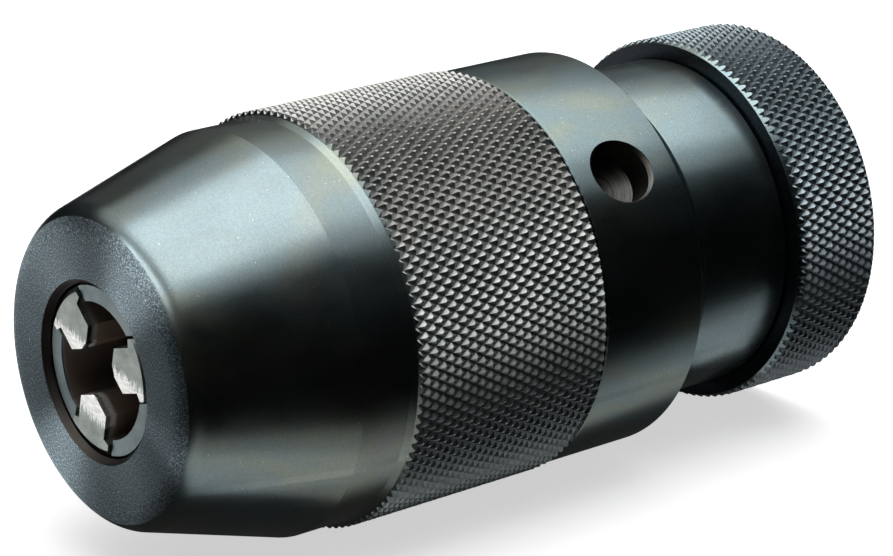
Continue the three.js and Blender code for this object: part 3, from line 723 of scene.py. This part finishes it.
def make_sleeve():
    materials = [COLLAR_OXIDE, DRILLED_OXIDE]
    journal = STUB_RADIUS + CLEARANCE
    profile = rounded([
        (SPIGOT_INNER_RADIUS, SPIGOT_START),
        (SPIGOT_INNER_RADIUS, WEB_START),
        (journal, WEB_START),
        (journal, COLLAR_END),
        (COLLAR_RADIUS - COLLAR_REAR_BEVEL, COLLAR_END),
        (COLLAR_RADIUS, COLLAR_END - COLLAR_REAR_BEVEL),
        (COLLAR_RADIUS, COLLAR_START + COLLAR_FRONT_BEVEL),
        (COLLAR_RADIUS - COLLAR_FRONT_BEVEL, COLLAR_START),
        (SPIGOT_RADIUS, COLLAR_START),
        (SPIGOT_RADIUS, SPIGOT_START),
    ], closed=True)[::-1]
    surface = Surface()
    surface.lathe(profile + profile[:1], lambda *_: SLEEVE_COLLAR)
    merge_seam(surface)
    sleeve = surface.object("sleeve_shell", materials)
    radius, floor = SPANNER_HOLE_RADIUS, COLLAR_RADIUS - SPANNER_HOLE_DEPTH
    tool = radial_tool("spanner_hole_tool", [
        (0, floor - radius / math.tan(DRILL_POINT_HALF_ANGLE)),
        (radius, floor),
        (radius, COLLAR_RADIUS - SPANNER_HOLE_BEVEL),
        (radius + SPANNER_HOLE_BEVEL + MM, COLLAR_RADIUS + MM),
        (0, COLLAR_RADIUS + MM),
    ], SPANNER_HOLE_Y, SPANNER_HOLE_CLOCK, materials, SLEEVE_HOLE)
    return subtract(sleeve, tool)


def merge_seam(surface):
    """Joins the last ring of a closed profile to its first one, which lies in the same place."""
    seen, swap = {}, []
    for i, p in enumerate(surface.points):
        swap.append(seen.setdefault(tuple(round(v, 8) for v in p), i))
    used = sorted(set(swap))
    order = {old: new for new, old in enumerate(used)}
    surface.points = [surface.points[i] for i in used]
    surface.faces = [[order[swap[i]] for i in face] for face in surface.faces]


def make_body():
    socket_floor = TAIL - SOCKET_DEPTH
    nut_seat = STUB_RADIUS - NUT_SEAT_DROP
    nut_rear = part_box("bearing_nut")[1][1] + CLEARANCE
    groove = SNAP_OUTER_RADIUS - SNAP_RING_WIDTH - CLEARANCE
    groove_start, groove_end = snap_low[1] - CLEARANCE, snap_high[1] + CLEARANCE
    profile = rounded([
        (BODY_BORE_RADIUS, BODY_FRONT),
        (nut_seat - BODY_EDGE_BEVEL, BODY_FRONT),
        (nut_seat, BODY_FRONT + BODY_EDGE_BEVEL),
        (nut_seat, nut_rear),
        (STUB_RADIUS, nut_rear),
        (STUB_RADIUS, GROOVE_START),
        (NECK_GROOVE_RADIUS, GROOVE_START),
        (NECK_GROOVE_RADIUS, NECK_START),
        (NECK_RADIUS - NECK_EDGE_BEVEL, NECK_START),
        (NECK_RADIUS, NECK_START + NECK_EDGE_BEVEL),
        (NECK_RADIUS, NECK_END),
        (RING_SEAT_RADIUS, NECK_END),
        (RING_SEAT_RADIUS, groove_start),
        (groove, groove_start),
        (groove, groove_end),
        (RING_SEAT_RADIUS, groove_end),
        (RING_SEAT_RADIUS, TAIL),
        (SOCKET_MOUTH_RADIUS + SOCKET_BEVEL, TAIL),
        (SOCKET_MOUTH_RADIUS, TAIL - SOCKET_BEVEL),
        (SOCKET_MOUTH_RADIUS - SOCKET_DEPTH * SOCKET_TAPER / 2, socket_floor),
        (BODY_BORE_RADIUS, BODY_FRONT + BODY_BORE_LENGTH),
    ], closed=True)
    surface = Surface()
    surface.lathe(profile + profile[:1], lambda *_: 0)
    merge_seam(surface)
    return surface.object("body_shell", [NECK_OXIDE])


def make_ring():
    surface = Surface()
    front, rear = knurl(surface, RING_RADIUS, RING_START, TAIL, RING_TEETH, RING_TOOTH_DEPTH,
                        RING_KNURL_FRONT, RING_KNURL_REAR, RING_KNURL)
    bore = RING_SEAT_RADIUS + CLEARANCE
    pocket = SNAP_OUTER_RADIUS + CLEARANCE
    pocket_start = snap_low[1] - CLEARANCE
    profile = rounded([
        (RING_RADIUS - RING_KNURL_REAR[0], TAIL),
        (pocket, TAIL),
        (pocket, pocket_start),
        (bore, pocket_start),
        (bore, RING_START),
        (RING_RADIUS - RING_KNURL_FRONT[0], RING_START),
    ])
    first, last = surface.lathe(profile, lambda *_: RING_FACE, 2 * RING_TEETH)
    surface.stitch(last, front, RING_EDGE)
    surface.stitch(rear, first, RING_EDGE)
    return surface.object("ring_shell", [NECK_OXIDE, RING_KNURL_OXIDE, RING_FACE_PAINTED_SHADE])


def soften(node, material, width=TURNED_CORNER):
    """Gives a CAD node its material and, when width is not 0, eased edges by a bevel with hardened
    normals.
    """
    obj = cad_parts[node]
    obj.data.materials.clear()
    obj.data.materials.append(material)
    if width:
        bevel = obj.modifiers.new("eased_edges", "BEVEL")
        bevel.width = width
        bevel.segments = 2
        bevel.limit_method = "ANGLE"
        bevel.angle_limit = BEVEL_ANGLE
        bevel.harden_normals = True
    return obj


def put(piece, body, slot, *nodes):
    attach(piece, body)
    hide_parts(*nodes)


put(make_hood(), "sleeve_group", "black_oxide", "hood")
put(make_sleeve(), "sleeve_group", "black_oxide", "sleeve")
put(make_body(), "body", "black_oxide", "chuck_body")
put(make_ring(), "body", "black_oxide", "holding_ring")
for node in ("jaw_1", "jaw_2", "jaw_3"):
    soften(node, GROUND_STEEL)
for node in ("jaw_guide", "feed_screw", "ring_snap_ring", "bearing_nut"):
    soften(node, BLUED_STEEL)
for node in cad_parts:
    if node.startswith("ball_") and node != "ball_cage":
        soften(node, BEARING_STEEL, 0)
soften("front_race", BEARING_STEEL)
soften("rear_race", BEARING_STEEL)
soften("ball_cage", CAGE_BRASS)


# ====================================================================== studio
AIM = Vector((-0.0086, 0.0073, 0.0217))
CAMERA_DISTANCE = 0.41617
CAMERA_AZIMUTH = math.radians(51.07)
CAMERA_ELEVATION = math.radians(19.0)
CAMERA_LENS = 133.0
SENSOR_WIDTH = 36.0
FLOOR_SIZE = 6.0
FLOOR_GLOW = 0.60
BACKDROP_GLOW = 1.0                   # the pale wall behind the floor, seen only by the camera
AMBIENT_GLOW = 0.004

# name, place, point it faces, size, radiance, seen in reflections, lights matt surfaces
PANELS = [
    ("overhead", (-0.18, 0.18, 0.8), (-0.18, 0.18, 0.0), (1.56, 1.6), 0.75, True, True),
    ("overhead_rear_core", (-0.07, 0.66, 0.79), (-0.07, 0.66, 0.0), (0.70, 0.60), 1.0, True, True),
    ("overhead_front_core", (0.0, -0.02, 0.79), (0.0, -0.02, 0.0), (0.80, 0.74), 2.0, True, True),
    ("front_top", (-0.15, -0.85, 0.62), (0.0, -0.05, 0.02), (0.80, 0.22), 5.5, True, False),
    ("back_left", (-0.95, 0.75, 0.42), (0.0, 0.0, 0.05), (0.9, 0.5), 0.15, True, True),
]
# name, span across the chuck, span along it, radiance
TABLE_CARDS = [
    ("table_nose_near", (0.0205, 0.0375), (-0.075, -0.020), 0.85),
    ("table_nose_far", (0.0205, 0.0500), (-0.075, -0.020), 0.35),
    ("table_body_near", (0.0205, 0.0340), (-0.020, 0.130), 0.50),
    ("table_body_far", (0.0205, 0.0430), (-0.020, 0.130), 0.22),
    ("table_neck", (0.0160, 0.0205), (0.036, 0.075), 0.55),
    ("table_left", (-0.260, -0.020), (-0.210, 0.090), 0.95),
    ("table_dim", (-0.100, 0.0200), (-0.150, 0.150), 0.028),
]
TABLE_CARD_DEPTH = 0.001              # below the floor, which reflections don't see


def make_camera():
    data = bpy.data.cameras.new("camera")
    data.lens = CAMERA_LENS
    data.sensor_width = SENSOR_WIDTH
    data.sensor_fit = "HORIZONTAL"
    data.clip_start = 0.01
    camera = bpy.data.objects.new("camera", data)
    direction = Vector((
        math.cos(CAMERA_ELEVATION) * math.sin(CAMERA_AZIMUTH),
        -math.cos(CAMERA_ELEVATION) * math.cos(CAMERA_AZIMUTH),
        math.sin(CAMERA_ELEVATION),
    ))
    camera.location = AIM + direction * CAMERA_DISTANCE
    camera.rotation_euler = (math.pi / 2 - CAMERA_ELEVATION, 0, CAMERA_AZIMUTH)
    bpy.context.scene.collection.objects.link(camera)
    bpy.context.scene.camera = camera


def make_panel(name, place, towards, size, radiance, glossy, diffuse):
    """A soft rectangular light of the given radiance."""
    data = bpy.data.lights.new(name, "AREA")
    data.shape = "RECTANGLE"
    data.size, data.size_y = size
    data.energy = radiance * math.pi * size[0] * size[1]
    panel = bpy.data.objects.new(name, data)
    panel.location = place
    panel.rotation_euler = (Vector(towards) - Vector(place)).to_track_quat("-Z", "Y").to_euler()
    panel.visible_camera = False
    panel.visible_glossy = glossy
    panel.visible_diffuse = diffuse
    bpy.context.scene.collection.objects.link(panel)


def make_table_card(name, across, along, radiance):
    """White table as the metal sees it: a strip just under the floor, seen only in reflections."""
    centre = ((across[0] + across[1]) / 2, (along[0] + along[1]) / 2)
    size = (across[1] - across[0], along[1] - along[0])
    make_panel(name, (*centre, -TABLE_CARD_DEPTH), (*centre, 1.0), size, radiance, True, False)


def make_floor():
    n = Nodes("studio_floor")
    n.shader.inputs["Emission Color"].default_value = (1.0, 1.0, 1.0, 1.0)
    n.shader.inputs["Emission Strength"].default_value = FLOOR_GLOW
    n.finish((0.80, 0.80, 0.80, 1.0), 0.9, metallic=0.0)
    mesh = bpy.data.meshes.new("floor")
    half = FLOOR_SIZE / 2
    corners = [(-half, -half, 0), (half, -half, 0), (half, half, 0), (-half, half, 0)]
    mesh.from_pydata(corners, [], [range(4)])
    mesh.materials.append(n.material)
    floor = bpy.data.objects.new("floor", mesh)
    floor.visible_glossy = False
    bpy.context.scene.collection.objects.link(floor)


def make_world():
    world = bpy.data.worlds.new("studio")
    world.use_nodes = True
    background = world.node_tree.nodes["Background"]
    background.inputs["Color"].default_value = (1, 1, 1, 1)
    rays = world.node_tree.nodes.new("ShaderNodeLightPath")
    strength = world.node_tree.nodes.new("ShaderNodeMath")
    strength.operation = "MULTIPLY_ADD"
    strength.inputs[1].default_value = BACKDROP_GLOW
    strength.inputs[2].default_value = AMBIENT_GLOW
    world.node_tree.links.new(rays.outputs["Is Camera Ray"], strength.inputs[0])
    world.node_tree.links.new(strength.outputs[0], background.inputs["Strength"])
    bpy.context.scene.world = world


make_camera()
make_floor()
make_world()
for settings in PANELS:
    make_panel(*settings)
for settings in TABLE_CARDS:
    make_table_card(*settings)

bpy.context.scene.view_settings.view_transform = "Standard"
